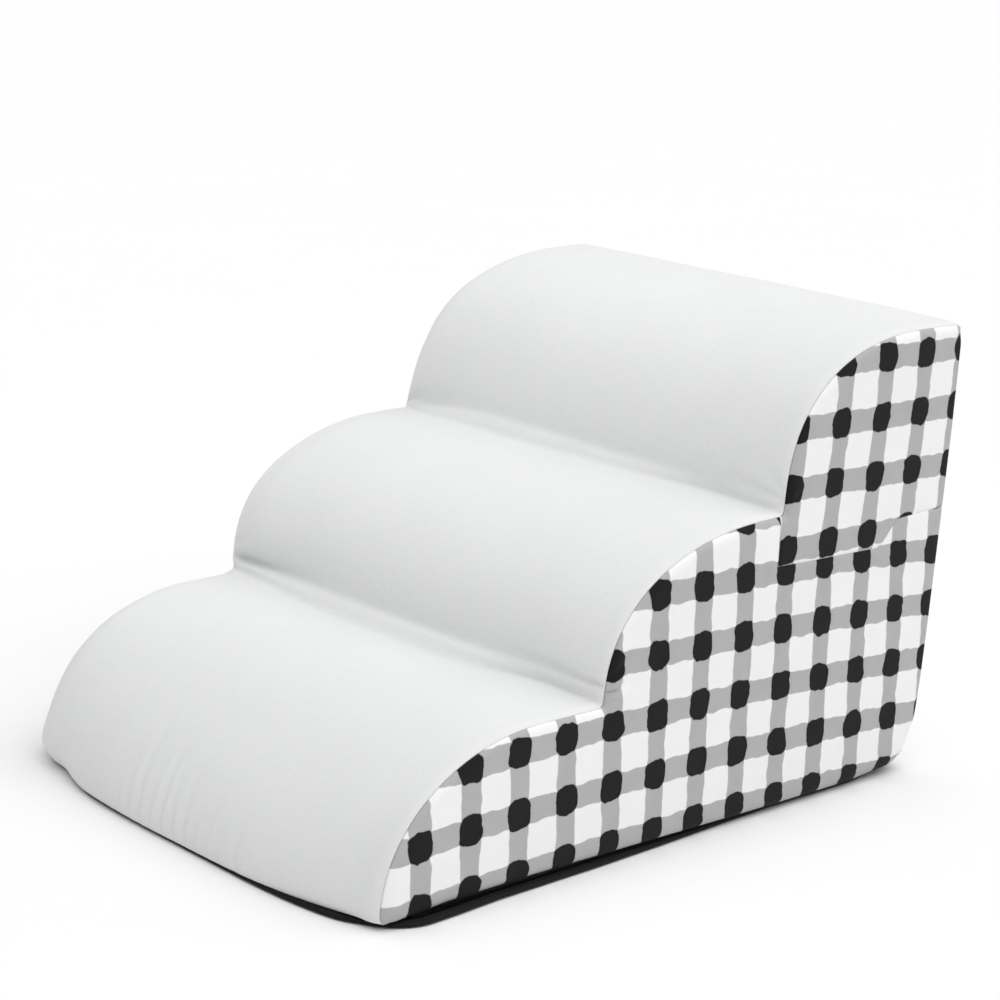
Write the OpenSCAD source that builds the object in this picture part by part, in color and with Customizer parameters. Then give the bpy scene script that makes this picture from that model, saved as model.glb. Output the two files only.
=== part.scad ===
// Three-step foam ramp for a small dog, with a sewn cover that zips off.
//
// The origin is on the floor, under the middle of the ramp. +X is to the right as seen
// from the lowest step, +Y runs from the lowest step to the tall back, and +Z is up.
// Most sizes are given as an inset: how far a surface lies inside the cover's outer face.

/* [Overall size] */
// Width across the two side panels
width = 400; // [320:10:480]
// Depth from the nose of the lowest step to the back
depth = 550; // [540:10:620]
// Height of the top step
height = 350; // [320:5:380]

/* [Steps] */
// Distance from the front to the notch behind the first tread
notch_1 = 192; // [182:2:210]
// Distance from the front to the notch behind the second tread
notch_2 = 364; // [350:2:380]
// Height of the first tread
tread_1 = 117; // [101:2:125]
// Height of the second tread
tread_2 = 227; // [211:2:237]
// Depth of the rounded nose of the first step
nose_1 = 140; // [120:5:180]
// Depth of the rounded nose of the third step
nose_3 = 160; // [120:5:160]
// Squareness of the first nose, where 2 is an ellipse
power_1 = 2.1; // [2:0.05:3]
// Squareness of the second nose
power_2 = 2.3; // [2:0.05:3]
// Squareness of the third nose
power_3 = 2.5; // [2:0.05:3]
// Radius of the upright corners at the front
front_corner = 30; // [28:2:40]
// Radius of the upright corners at the back
rear_corner = 20; // [18:1:30]

/* [Cover] */
// Thickness of the plush over the treads, with its backing
plush_thick = 3; // [3:0.5:4]
// Thickness of the side and back panels
panel_thick = 1.5; // [1:0.1:1.6]
// Thickness of the non-slip base
base_thick = 2; // [1.5:0.5:2]
// Height of the lower edge of the side and back panels
panel_low = 10; // [10:0.5:11]
// Height of the lower edge of the plush at the front
plush_low = 6; // [5:0.5:8]
// Height of the patch seam where it starts at the second notch
patch_low = 191; // [186:1:196]
// Height of the patch seam where it bends upwards
patch_mid = 189; // [187:1:192]
// Height of the patch seam where its rise ends
patch_high = 208; // [200:1:212]
// Distance from the front to the bend in the patch seam
patch_bend = 474; // [460:2:490]
// Length of the rise after the bend
patch_rise_long = 26; // [20:2:40]

/* [Foam] */
// Inset of the foam from the outer face of the cover
foam_inset = 3; // [3:0.5:3.5]
// Inset of the foam's bevelled lower edge
bevel_inset = 9.5; // [9:0.5:14]
// Height of the bevel
bevel_high = 18; // [17:1:30]

/* [Zip] */
// Inset of the outer face of the zip tapes
tape_inset = 4.2; // [4:0.1:4.2]
// Thickness of a tape
tape_thick = 0.8; // [0.6:0.1:0.9]
// Thickness of a coil
coil_thick = 1.3; // [1:0.1:1.3]
// Width of each coil
coil_wide = 2.6; // [2.2:0.1:2.6]
// Height of the line where the two coils meet
coil_line = 6.25; // [6:0.05:6.4]
// Length of the slider
slider_long = 9; // [8:0.5:12]
// Length of the pull from its hinge to its tip
pull_long = 24; // [16:1:30]

/* [Hidden] */

half_w = width / 2;
half_d = depth / 2;
// Segments in each rounded nose and in each upright corner
nose_segments = 24;
corner_segments = 6;
// Larger than the whole ramp, for cutting solids
big = 1000;

// Upright corners of the foam, rounder than the cover's
foam_front_corner = 36;
foam_rear_corner = 24;

// Places along the left and right runs, from the front: tab, stop, coil, slider
tab_start = -half_d + 32;
tab_end = tab_start + 14;
stop_start = tab_end + 0.5;
stop_end = stop_start + 3;
coil_start = stop_end + 0.3;
slider_at = coil_start + slider_long / 2 + 1.5;
coil_gap = 0.1;

// Slider, as insets from the outer face of the cover
bridge_out = 0.1;
bridge_in = 0.7;
pull_out = 0.85;
pull_in = 1.45;
plate_out = 1.7;
plate_in = 2.6;
flange_in = 3.9;
back_plate_out = 5.3;
back_plate_in = 6.1;
slider_low = 2.6;
slider_high = 9.8;
flange_high = 0.7;
pull_low = 3.65;
pull_high = 8.85;
bridge_long = 7;
bridge_wide = 1.6;
bridge_foot = 1;
arm_wide = 1.4;
arm_long = 5;

// ---- outlines ----

// Rounded nose that starts at the foot of a riser and ends on the tread above it
function nose(start, foot, run, rise, power) = [
    for (i = [0 : nose_segments])
        let (a = 90 * i / nose_segments)
            [start + run * (1 - pow(cos(a), 2 / power)), foot + rise * pow(sin(a), 2 / power)]
];

// Side outline of the ramp, as distance from the front and height
profile = concat(
    [[0, 0]],
    nose(0, plush_low, nose_1, tread_1 - plush_low, power_1),
    nose(notch_1, tread_1, notch_2 - notch_1, tread_2 - tread_1, power_2),
    nose(notch_2, tread_2, nose_3, height - tread_2, power_3),
    [[depth, height], [depth, 0]]
);

// Quarter circle about [x, y] that starts at angle a
function arc(x, y, r, a) = [
    for (i = [0 : corner_segments])
        let (b = a + 90 * i / corner_segments)
            [x + r * cos(b), y + r * sin(b)]
];

// Floor outline: a rectangle with rounded corners, an inset inside the cover's outer face
function plan(inset, front_r, rear_r) =
    let (x = half_w - inset, y = half_d - inset)
        concat(
            arc(x - rear_r, y - rear_r, rear_r, 0),
            arc(rear_r - x, y - rear_r, rear_r, 90),
            arc(front_r - x, front_r - y, front_r, 180),
            arc(x - front_r, front_r - y, front_r, 270)
        );

// ---- building blocks ----

// Box between two corners
module block(low, high) {
    translate(low) cube(high - low);
}

// Upright prism of the floor outline between two heights
module plan_prism(inset, low, high, front_r = front_corner, rear_r = rear_corner) {
    translate([0, 0, low])
        linear_extrude(height = high - low)
            polygon(plan(inset, front_r, rear_r));
}

// Prism of the side outline, moved back and down by an inset
module step_prism(inset) {
    translate([0, inset - half_d, -inset])
        rotate([90, 0, 90])
            linear_extrude(height = width + 2, center = true)
                polygon(profile);
}

// Prism along X of any outline given as [y, z] points
module cross_prism(points) {
    rotate([90, 0, 90])
        linear_extrude(height = big, center = true)
            polygon(points);
}

// The whole cover as one shell
module cover_shell() {
    difference() {
        intersection() {
            step_prism(0);
            plan_prism(0, plush_low, height + 1);
        }
        intersection() {
            step_prism(plush_thick);
            plan_prism(panel_thick, -big, big,
                       front_corner - panel_thick, rear_corner - panel_thick);
        }
    }
}

// Space that belongs to the plush strip: between the sides, over the treads
module plush_space() {
    x = half_w - panel_thick;
    top = height - plush_thick;
    block([-x, -half_d - 1, 0], [x, half_d - rear_corner, big]);
    block([-x, -half_d - 1, top], [x, half_d + 1, big]);
}

// Space that belongs to the back panel: between the two rear corners
module back_space() {
    x = half_w - rear_corner;
    block([-x, half_d - rear_corner, panel_low], [x, half_d + 1, height - plush_thick]);
}

// Space above the seam that crosses the side panel behind the second step
module patch_space() {
    seam_start = notch_2 - 2 - half_d;
    bend = patch_bend - half_d;
    cross_prism([
        [seam_start, patch_low],
        [bend, patch_mid],
        [bend + patch_rise_long, patch_high],
        [half_d + 1, patch_high + 2],
        [half_d + 1, height + 1],
        [seam_start, height + 1]
    ]);
}

// Both side panels in one piece each; side is 1 for right and -1 for left
module side_skin(side) {
    difference() {
        intersection() {
            cover_shell();
            block([side > 0 ? 0 : -half_w - 1, -half_d - 1, panel_low],
                  [side > 0 ? half_w + 1 : 0, half_d + 1, height + 1]);
        }
        plush_space();
        back_space();
    }
}

module side_panel_lower(side) {
    color("gainsboro")
        difference() {
            side_skin(side);
            patch_space();
        }
}

module side_panel_upper(side) {
    color("whitesmoke")
        intersection() {
            side_skin(side);
            patch_space();
        }
}

// Foam inside the cover with bevelled lower edges
module foam_block() {
    bevel = bevel_inset - foam_inset;
    intersection() {
        step_prism(foam_inset);
        plan_prism(foam_inset, base_thick, big, foam_front_corner, foam_rear_corner);
        cross_prism([
            [bevel_inset - half_d, base_thick],
            [foam_inset - half_d, bevel_high],
            [foam_inset - half_d, big],
            [half_d - foam_inset, big],
            [half_d - foam_inset, bevel_high],
            [half_d - bevel_inset, base_thick]
        ]);
        rotate([90, 0, 0])
            linear_extrude(height = big, center = true)
                polygon([
                    [-half_w + foam_inset + bevel, base_thick],
                    [-half_w + foam_inset, bevel_high],
                    [-half_w + foam_inset, big],
                    [half_w - foam_inset, big],
                    [half_w - foam_inset, bevel_high],
                    [half_w - foam_inset - bevel, base_thick]
                ]);
    }
}

// One of the glued slabs, behind the foot of its riser
module foam_slab(foot, low, high) {
    color("khaki")
        intersection() {
            foam_block();
            block([-half_w, foot + foam_inset - half_d, low], [half_w, half_d, high]);
        }
}

// Strip of even thickness that follows the floor outline
module band(inset, thick, low, high) {
    difference() {
        plan_prism(inset, low, high, front_corner - inset, rear_corner - inset);
        plan_prism(inset + thick, low - 1, high + 1,
                   front_corner - inset - thick, rear_corner - inset - thick);
    }
}

// The part of a band behind a line, round both sides and the back
module behind(y) {
    intersection() {
        children();
        block([-half_w - 1, y, -1], [half_w + 1, half_d + 1, big]);
    }
}

// ---- foam ----

module foam_slab_lower() { foam_slab(0, base_thick, tread_1 - foam_inset); }

module foam_slab_middle() { foam_slab(notch_1, tread_1 - foam_inset, tread_2 - foam_inset); }

module foam_slab_upper() { foam_slab(notch_2, tread_2 - foam_inset, height); }

// ---- cover ----

module tread_panel() {
    color("white")
        intersection() {
            cover_shell();
            plush_space();
        }
}

module back_panel() {
    color("white")
        intersection() {
            cover_shell();
            back_space();
        }
}

module side_panel_right_lower() { side_panel_lower(1); }

module side_panel_right_upper() { side_panel_upper(1); }

module side_panel_left_lower() { side_panel_lower(-1); }

module side_panel_left_upper() { side_panel_upper(-1); }

module base_panel() {
    inset = tape_inset - 0.2;
    color("black")
        plan_prism(inset, 0, base_thick, front_corner - inset, rear_corner - inset);
}

module front_binding() {
    color("black")
        intersection() {
            band(tape_inset, tape_thick, base_thick, bevel_high - 6);
            block([-half_w, -half_d, 0], [half_w, tab_start, big]);
        }
}

// ---- zip ----

// Tape of the side panels: it steps outwards and is sewn behind their lower edge
module zip_tape_upper() {
    shelf = panel_low + 1;
    hem_top = panel_low + 10;
    color("dimgray")
        behind(tab_start) {
            band(tape_inset, tape_thick, coil_line + coil_gap, shelf + tape_thick);
            band(panel_thick, tape_inset + tape_thick - panel_thick, shelf, shelf + tape_thick);
            band(panel_thick, tape_thick, shelf, hem_top);
        }
}

// Tape of the base: it stands on the edge of the non-slip base
module zip_tape_lower() {
    color("dimgray")
        behind(tab_start)
            band(tape_inset, tape_thick, base_thick, coil_line - coil_gap);
}

module zip_coil(low) {
    color("black")
        behind(coil_start)
            band(tape_inset - coil_thick, coil_thick, low, low + coil_wide);
}

module zip_coil_upper() { zip_coil(coil_line + coil_gap / 2); }

module zip_coil_lower() { zip_coil(coil_line - coil_gap / 2 - coil_wide); }

// Block that clamps both tapes at one end of the coils
module zip_stop(side) {
    x = half_w - tape_inset;
    color("silver")
        mirror([side > 0 ? 0 : 1, 0, 0])
            block([x, stop_start, coil_line - coil_wide],
                  [x + coil_thick, stop_end, coil_line + coil_wide]);
}

module zip_start_stop() { zip_stop(-1); }

module zip_end_stop() { zip_stop(1); }

// Folded tab sewn over the cut ends of the tapes
module zip_end_tab(side) {
    x = half_w - tape_inset;
    tab_thick = 1.2;
    color("black")
        mirror([side > 0 ? 0 : 1, 0, 0])
            block([x, tab_start + 0.5, base_thick + 0.3],
                  [x + tab_thick, tab_end, panel_low]);
}

module zip_end_tab_left() { zip_end_tab(-1); }

module zip_end_tab_right() { zip_end_tab(1); }

// Slider on the left run. Its X is the inset from the left side, its Y the run.
// The neck that joins its two plates is left out, because the coils stay closed.
module zip_slider() {
    y = slider_long / 2;
    mid = (slider_low + slider_high) / 2;
    bridge_low = mid - bridge_wide / 2;
    bridge_high = mid + bridge_wide / 2;
    bridge_end = bridge_long / 2;
    color("darkgray")
        translate([-half_w, slider_at, 0]) {
            block([plate_out, -y, slider_low], [plate_in, y, slider_high]);
            block([plate_in - 0.1, -y, slider_low],
                  [flange_in, y, slider_low + flange_high]);
            block([plate_in - 0.1, -y, slider_high - flange_high],
                  [flange_in, y, slider_high]);
            block([back_plate_out, -y, slider_low + flange_high],
                  [back_plate_in, y, slider_high - flange_high]);
            block([bridge_out, -bridge_end, bridge_low], [bridge_in, bridge_end, bridge_high]);
            for (end = [-bridge_end, bridge_end - bridge_foot])
                block([bridge_in - 0.1, end, bridge_low],
                      [plate_out + 0.1, end + bridge_foot, bridge_high]);
        }
}

// Pull that hinges on a cross bar under the slider's bridge
module zip_pull() {
    tip_r = (pull_high - pull_low) / 2;
    mid = (pull_high + pull_low) / 2;
    middle_inset = (pull_out + pull_in) / 2;
    tip_y = pull_long - tip_r;
    hole_r = 1.3;
    color("gray")
        translate([-half_w, slider_at, 0])
            difference() {
                union() {
                    translate([middle_inset, 0, pull_low])
                        cylinder(h = pull_high - pull_low, r = 0.3, $fn = 24);
                    for (low = [pull_low, pull_high - arm_wide])
                        block([pull_out, 0, low], [pull_in, arm_long, low + arm_wide]);
                    block([pull_out, arm_long - 0.1, pull_low], [pull_in, tip_y, pull_high]);
                    translate([pull_out, tip_y, mid])
                        rotate([0, 90, 0])
                            cylinder(h = pull_in - pull_out, r = tip_r, $fn = 32);
                }
                translate([pull_out - 1, tip_y, mid])
                    rotate([0, 90, 0])
                        cylinder(h = 3, r = hole_r, $fn = 32);
            }
}

foam_slab_lower();
foam_slab_middle();
foam_slab_upper();
tread_panel();
back_panel();
side_panel_right_lower();
side_panel_right_upper();
side_panel_left_lower();
side_panel_left_upper();
base_panel();
front_binding();
zip_tape_upper();
zip_tape_lower();
zip_coil_upper();
zip_coil_lower();
zip_start_stop();
zip_end_stop();
zip_end_tab_left();
zip_end_tab_right();
zip_slider();
zip_pull();
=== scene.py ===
import math

import bmesh
import bpy
import numpy as np
from mathutils import Matrix, Vector
from mathutils.geometry import delaunay_2d_cdt
from mathutils.kdtree import KDTree


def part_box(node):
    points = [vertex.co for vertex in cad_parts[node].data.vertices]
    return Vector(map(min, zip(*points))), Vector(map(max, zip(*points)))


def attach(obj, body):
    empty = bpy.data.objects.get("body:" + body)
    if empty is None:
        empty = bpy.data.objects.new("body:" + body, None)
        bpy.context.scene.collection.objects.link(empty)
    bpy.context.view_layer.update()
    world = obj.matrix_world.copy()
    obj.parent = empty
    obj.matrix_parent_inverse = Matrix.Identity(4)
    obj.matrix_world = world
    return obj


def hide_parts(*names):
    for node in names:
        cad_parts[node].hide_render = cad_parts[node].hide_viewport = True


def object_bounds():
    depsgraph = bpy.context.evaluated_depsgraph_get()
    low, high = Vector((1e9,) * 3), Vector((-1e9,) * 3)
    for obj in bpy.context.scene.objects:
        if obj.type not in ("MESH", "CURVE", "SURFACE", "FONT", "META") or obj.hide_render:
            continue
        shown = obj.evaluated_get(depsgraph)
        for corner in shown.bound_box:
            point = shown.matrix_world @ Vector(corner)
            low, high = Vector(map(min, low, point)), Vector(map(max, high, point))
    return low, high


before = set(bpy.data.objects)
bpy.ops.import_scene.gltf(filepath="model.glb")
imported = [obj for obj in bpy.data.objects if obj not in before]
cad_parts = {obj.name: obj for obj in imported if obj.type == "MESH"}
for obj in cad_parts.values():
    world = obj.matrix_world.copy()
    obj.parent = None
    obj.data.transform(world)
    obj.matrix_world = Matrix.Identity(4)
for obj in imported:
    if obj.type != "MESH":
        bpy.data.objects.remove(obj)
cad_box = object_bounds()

# Three-step foam ramp for a small dog. Lengths are metres; MM turns millimetres into metres.
# +X is right as seen from the lowest step, +Y runs from the lowest step to the back, +Z is up.
MM = 0.001

# ---- sizes from the CAD frame ----

lowest, highest = cad_box
HALF_W = (highest[0] - lowest[0]) / 2
FRONT, BACK, TOP = lowest[1], highest[1], highest[2]
foam_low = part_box("foam_slab_lower")
foam_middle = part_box("foam_slab_middle")
foam_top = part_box("foam_slab_upper")
FOAM_INSET = BACK - foam_low[1][1]
NOTCH_1 = np.array([foam_middle[0][1] - FOAM_INSET, foam_middle[0][2] + FOAM_INSET])
NOTCH_2 = np.array([foam_top[0][1] - FOAM_INSET, foam_top[0][2] + FOAM_INSET])
PATCH_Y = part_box("side_panel_right_upper")[0][1]
PATCH_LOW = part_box("side_panel_right_upper")[0][2]
PANEL_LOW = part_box("back_panel")[0][2]
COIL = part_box("zip_coil_upper"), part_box("zip_coil_lower")
COIL_LINE = (COIL[0][0][2] + COIL[1][1][2]) / 2
COIL_WIDE = COIL[0][1][2] - COIL[0][0][2]
TAPE_INSET = HALF_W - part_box("zip_tape_lower")[1][0]
TAB_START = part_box("zip_tape_lower")[0][1]
COIL_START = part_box("zip_coil_upper")[0][1]

# Shape of the noses and corners, as the CAD model has them
NOSE_1_RUN = 140 * MM
NOSE_3_RUN = 160 * MM
NOSE_POWERS = 2.1, 2.3, 2.5
FRONT_CORNER = 30 * MM
REAR_CORNER = 20 * MM

# The seam below the patch: its slope, then the place, length and height of its rise
PATCH_SLOPES = -0.018, 0.045
PATCH_BEND = FRONT + 474 * MM
PATCH_RISE_LONG = 26 * MM
PATCH_RISE = 18.5 * MM

# Rounding of the cover's edges, where two panels are sewn together
TOE_R = 10 * MM
TOE_LIFT = -0.6 * MM
TOP_REAR_R = 7 * MM
REAR_R = 5 * MM
REAR_LOW_R = 25 * MM
SEAM_R = 9 * MM
SEAM_OUT = 2 * MM
REAR_OUT = 6 * MM
MID_ARC = 1 - math.sqrt(0.5)
TUCK = 3 * MM

# ---- small helpers ----


def smooth(t):
    """0 below 0, 1 above 1, and a smooth step between."""
    t = np.clip(t, 0, 1)
    return t * t * (3 - 2 * t)


def bump(t):
    """1 at 0, falling smoothly to nothing at about 2."""
    return np.exp(-np.square(t))


def resample(points, step):
    """The polyline with its points evenly spaced, about step apart."""
    points = np.asarray(points, float)
    length = np.concatenate([[0], np.cumsum(np.linalg.norm(np.diff(points, axis=0), axis=1))])
    count = max(2, int(round(length[-1] / step)) + 1)
    at = np.linspace(0, length[-1], count)
    return np.stack([np.interp(at, length, points[:, k]) for k in range(points.shape[1])], 1)


def blur(line, reach):
    """The evenly spaced line smoothed over a distance of reach points, with its ends kept."""
    half = int(4 * reach)
    kernel = np.exp(-0.5 * np.square(np.arange(-half, half + 1) / reach))
    kernel /= kernel.sum()
    before = 2 * line[0] - line[half:0:-1]
    after = 2 * line[-1] - line[-2:-half - 2:-1]
    padded = np.concatenate([before, line, after])
    return np.stack([np.convolve(padded[:, k], kernel, "valid") for k in range(2)], 1)


def rounding(radius, distance):
    """How far a face drops near an edge of that radius; the seam is halfway round the edge."""
    b = np.clip(MID_ARC * radius + distance, 0, radius)
    return radius - np.sqrt(np.maximum(radius ** 2 - (radius - b) ** 2, 0))


def rear_radius(z):
    """Radius of the upright rear edges: small, and larger near the floor."""
    return REAR_R + (REAR_LOW_R - REAR_R) * (1 - smooth(np.asarray(z) / (48 * MM)))


def rear_face(z):
    """How far back the cover stands at a height: it leans out towards the top."""
    lean = np.interp(np.asarray(z) / MM, [0, 35, 50, 80, 130, 205, 270], [11, 9, 7.5, 5.2, 3.5, 1.5, 0])
    return BACK + REAR_OUT - lean * MM


def rear_seam(z):
    """How far out, and how far back, the upright rear seam lies at a height."""
    drop = MID_ARC * rear_radius(z)
    return HALF_W + SEAM_OUT - drop, rear_face(z) - drop


def closed_loop(points, spacing):
    """The closed loop with its points evenly spaced."""
    return resample(np.concatenate([points, points[:1]]), spacing)[:-1]


def signed_area(loop):
    """Area inside a closed loop, positive when it runs anticlockwise."""
    x, y = loop[:, 0], loop[:, 1]
    return 0.5 * np.sum(x * np.roll(y, -1) - y * np.roll(x, -1))


def inward_normals(loop):
    """Unit vectors that point into a closed loop that runs anticlockwise."""
    step = np.roll(loop, -1, 0) - np.roll(loop, 1, 0)
    normal = np.stack([-step[:, 1], step[:, 0]], 1)
    return normal / np.linalg.norm(normal, axis=1)[:, None]


def directions(path):
    """Unit vectors along an open path."""
    step = np.gradient(path, axis=0)
    return step / np.linalg.norm(step, axis=1)[:, None]


def grid_points(xs, ys):
    return np.stack(np.meshgrid(xs, ys), -1).reshape(-1, 2)


def grid_faces(high, wide):
    """Faces between neighbouring points of a grid that is wide points across."""
    return [
        (r * wide + c, r * wide + c + 1, (r + 1) * wide + c + 1, (r + 1) * wide + c)
        for r in range(high - 1) for c in range(wide - 1)
    ]


def fill_outline(points, count):
    """Triangles inside the outline made by the first count points: the places of their corners,
    the triangles, and the point that each corner comes from, or -1."""
    edges = [(i, (i + 1) % count) for i in range(count)]
    cut = delaunay_2d_cdt([Vector(p) for p in points], edges, [list(range(count))], 1, 1e-7)
    source = [ids[0] if ids else -1 for ids in cut[3]]
    return np.array([tuple(p) for p in cut[0]]), [tuple(f) for f in cut[2]], source


def add_object(name, data):
    obj = bpy.data.objects.new(name, data)
    bpy.context.collection.objects.link(obj)
    return obj


def shaded(name, mesh, material, soft=True):
    """An object for a finished mesh, smooth where soft is true."""
    for face in mesh.polygons:
        face.use_smooth = soft
    mesh.materials.append(material)
    return add_object(name, mesh)


def mesh_object(name, points, faces, material):
    mesh = bpy.data.meshes.new(name)
    mesh.from_pydata([tuple(p) for p in points], [], [tuple(f) for f in faces])
    mesh.validate()
    mesh.update()
    return shaded(name, mesh, material)


def finished_bmesh(name, made, material, soft):
    """An object from a bmesh, with its normals turned outwards."""
    bmesh.ops.recalc_face_normals(made, faces=made.faces)
    mesh = bpy.data.meshes.new(name)
    made.to_mesh(mesh)
    made.free()
    return shaded(name, mesh, material, soft)


def declare(obj, node, body="root"):
    """The piece rides on that body and stands for that CAD node."""
    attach(obj, body)
    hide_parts(node)


def thicken(obj, thickness, levels=0):
    """Cloth of that thickness, grown inwards from the outer face."""
    solid = obj.modifiers.new("cloth", "SOLIDIFY")
    solid.thickness = thickness
    solid.offset = -1
    if levels:
        soft = obj.modifiers.new("soft", "SUBSURF")
        soft.levels = soft.render_levels = levels


# ---- materials ----


class Nodes:
    """Short names for building a material's node tree."""

    def __init__(self, name):
        self.material = bpy.data.materials.new(name)
        self.material.use_nodes = True
        self.tree = self.material.node_tree
        self.shader = self.tree.nodes["Principled BSDF"]

    def node(self, kind, **settings):
        node = self.tree.nodes.new(kind)
        for key, value in settings.items():
            setattr(node, key, value)
        return node

    def link(self, source, target):
        self.tree.links.new(source, target)

    def feed(self, socket, value):
        """Links a socket to an output, or sets it to a plain value."""
        if hasattr(value, "is_linked"):
            self.link(value, socket)
        else:
            socket.default_value = value

    def math(self, operation, *values):
        node = self.node("ShaderNodeMath", operation=operation)
        for socket, value in zip(node.inputs, values):
            self.feed(socket, value)
        return node.outputs[0]

    def place(self):
        return self.node("ShaderNodeTexCoord").outputs["Object"]

    def noise(self, vector, scale, detail=2.0, rough=0.5):
        node = self.node("ShaderNodeTexNoise")
        node.inputs["Scale"].default_value = scale
        node.inputs["Detail"].default_value = detail
        node.inputs["Roughness"].default_value = rough
        self.link(vector, node.inputs["Vector"])
        return node.outputs["Fac"]

    def wave(self, vector, scale, direction):
        node = self.node("ShaderNodeTexWave", bands_direction=direction)
        node.inputs["Scale"].default_value = scale
        self.link(vector, node.inputs["Vector"])
        return node.outputs["Fac"]

    def ramp(self, value, low, high):
        """value mapped so that low becomes 0 and high becomes 1, clamped."""
        node = self.node("ShaderNodeMapRange")
        node.inputs["From Min"].default_value = low
        node.inputs["From Max"].default_value = high
        self.link(value, node.inputs["Value"])
        return node.outputs["Result"]

    def mix(self, share, a, b):
        node = self.node("ShaderNodeMix", data_type="RGBA")
        for socket, value in ((0, share), (6, a), (7, b)):
            self.feed(node.inputs[socket], value)
        return node.outputs[2]

    def bump(self, height, strength, distance, normal=None):
        node = self.node("ShaderNodeBump")
        node.inputs["Strength"].default_value = strength
        node.inputs["Distance"].default_value = distance
        self.link(height, node.inputs["Height"])
        if normal:
            self.link(normal, node.inputs["Normal"])
        return node.outputs["Normal"]

    def finish(self, color, normal, roughness, sheen=0.0):
        self.link(color, self.shader.inputs["Base Color"])
        self.link(normal, self.shader.inputs["Normal"])
        self.shader.inputs["Roughness"].default_value = roughness
        self.shader.inputs["Specular IOR Level"].default_value = 0.25
        self.shader.inputs["Sheen Weight"].default_value = sheen
        self.shader.inputs["Sheen Roughness"].default_value = 0.5
        return self.material


def grey(value, tint=0.0):
    """A grey in scene-linear light, a little bluer for a positive tint."""
    return value * (1 - tint), value, value * (1 + tint), 1


def plush_material():
    n = Nodes("plush")
    place = n.place()
    broad = n.noise(place, 9, 2)
    nap = n.noise(place, 420, 3, 0.6)
    fibre = n.noise(place, 2200, 2, 0.6)
    tone = n.math("ADD", n.math("MULTIPLY", broad, 0.35), n.math("MULTIPLY", nap, 0.65))
    color = n.mix(n.ramp(tone, 0.35, 0.65), grey(0.765, 0.006), grey(0.80, 0.006))
    soft = n.bump(nap, 0.35, 0.5 * MM)
    fine = n.bump(fibre, 0.3, 0.2 * MM, soft)
    return n.finish(color, fine, 0.95, 0.08)


# Gingham: bands of grey both ways, with a dark blot where they cross. For each piece of cloth:
# where one blot lies behind the front and above the floor, the pitch both ways, how far each
# row leans towards the back, and how the rows rise and then sag, all in millimetres
MAIN_CLOTH = {
    "behind": 31.6, "above": 53.2, "across": 43.4, "up": 42.9, "lean": -2.6, "rise": 1.98, "sag": 0.202,
}
PATCH_CLOTH = {
    "behind": 371.8, "above": 243.6, "across": 45.2, "up": 43.8, "lean": 1.5, "rise": -0.2, "sag": 0.0,
}
# Width of a printed band; half-width of a blot, its height against its width, and its squareness
BAND = 17.2 * MM
BLOT = 10.2 * MM
BLOT_TALL = 1.06
BLOT_POWER = 3.2
THREADS = 260


def print_material(name, cloth):
    """Painted gingham on plain-weave cotton, laid out as the cloth of that panel."""
    n = Nodes(name)
    place = n.place()
    split = n.node("ShaderNodeSeparateXYZ")
    n.link(place, split.inputs[0])
    y, z = split.outputs["Y"], split.outputs["Z"]
    across_pitch, up_pitch = cloth["across"] * MM, cloth["up"] * MM
    behind = n.math("SUBTRACT", y, FRONT + cloth["behind"] * MM)
    above = n.math("SUBTRACT", z, cloth["above"] * MM)
    along = n.math("SUBTRACT", behind, n.math("MULTIPLY", above, cloth["lean"] / cloth["up"]))
    column = n.math("DIVIDE", along, across_pitch)
    arch = n.math("SUBTRACT", n.math("MULTIPLY", column, cloth["rise"] * MM),
                  n.math("MULTIPLY", n.math("MULTIPLY", column, column), cloth["sag"] * MM))
    raised = n.math("SUBTRACT", above, arch)

    def wobble(scale, depth, seed):
        moved = n.node("ShaderNodeMapping")
        moved.inputs["Location"].default_value = (seed, 2 * seed, 3 * seed)
        n.link(place, moved.inputs["Vector"])
        return n.math("MULTIPLY", n.math("SUBTRACT", n.noise(moved.outputs[0], scale, 1), 0.5), depth)

    def from_line(value, pitch, seed):
        """Distance from the nearest line of the grid, drawn by an unsteady hand."""
        moved = n.math("ADD", value, wobble(75, 4.5 * MM, seed))
        return n.math("ABSOLUTE", n.math("WRAP", moved, pitch / 2, -pitch / 2))

    across = from_line(along, across_pitch, 1.3)
    up = from_line(raised, up_pitch, 4.1)
    edge = 0.35 * MM
    band_y = n.ramp(across, BAND / 2 + edge, BAND / 2 - edge)
    band_z = n.ramp(up, BAND / 2 + edge, BAND / 2 - edge)
    bands = n.math("MAXIMUM", band_y, band_z)

    square_y = n.math("POWER", n.math("DIVIDE", across, BLOT), BLOT_POWER)
    square_z = n.math("POWER", n.math("DIVIDE", up, BLOT * BLOT_TALL), BLOT_POWER)
    radius = n.math("POWER", n.math("ADD", square_y, square_z), 1 / BLOT_POWER)
    ragged = n.math("ADD", radius, wobble(170, 0.22, 7.7))
    blot = n.ramp(ragged, 1.03, 0.97)

    mottle = n.noise(place, 60, 3)
    white = n.mix(mottle, grey(0.90, 0.004), grey(0.94, 0.004))
    band = n.mix(mottle, grey(0.43), grey(0.49))
    dark = n.mix(mottle, grey(0.004), grey(0.009))
    color = n.mix(blot, n.mix(bands, white, band), dark)

    weave = n.math("MAXIMUM", n.wave(place, THREADS, "Y"), n.wave(place, THREADS, "Z"))
    woven = n.bump(weave, 0.18, 0.12 * MM)
    creases = n.bump(n.noise(place, 38, 3), 0.25, 1.2 * MM, woven)
    return n.finish(color, creases, 0.85, 0.03)


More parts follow.
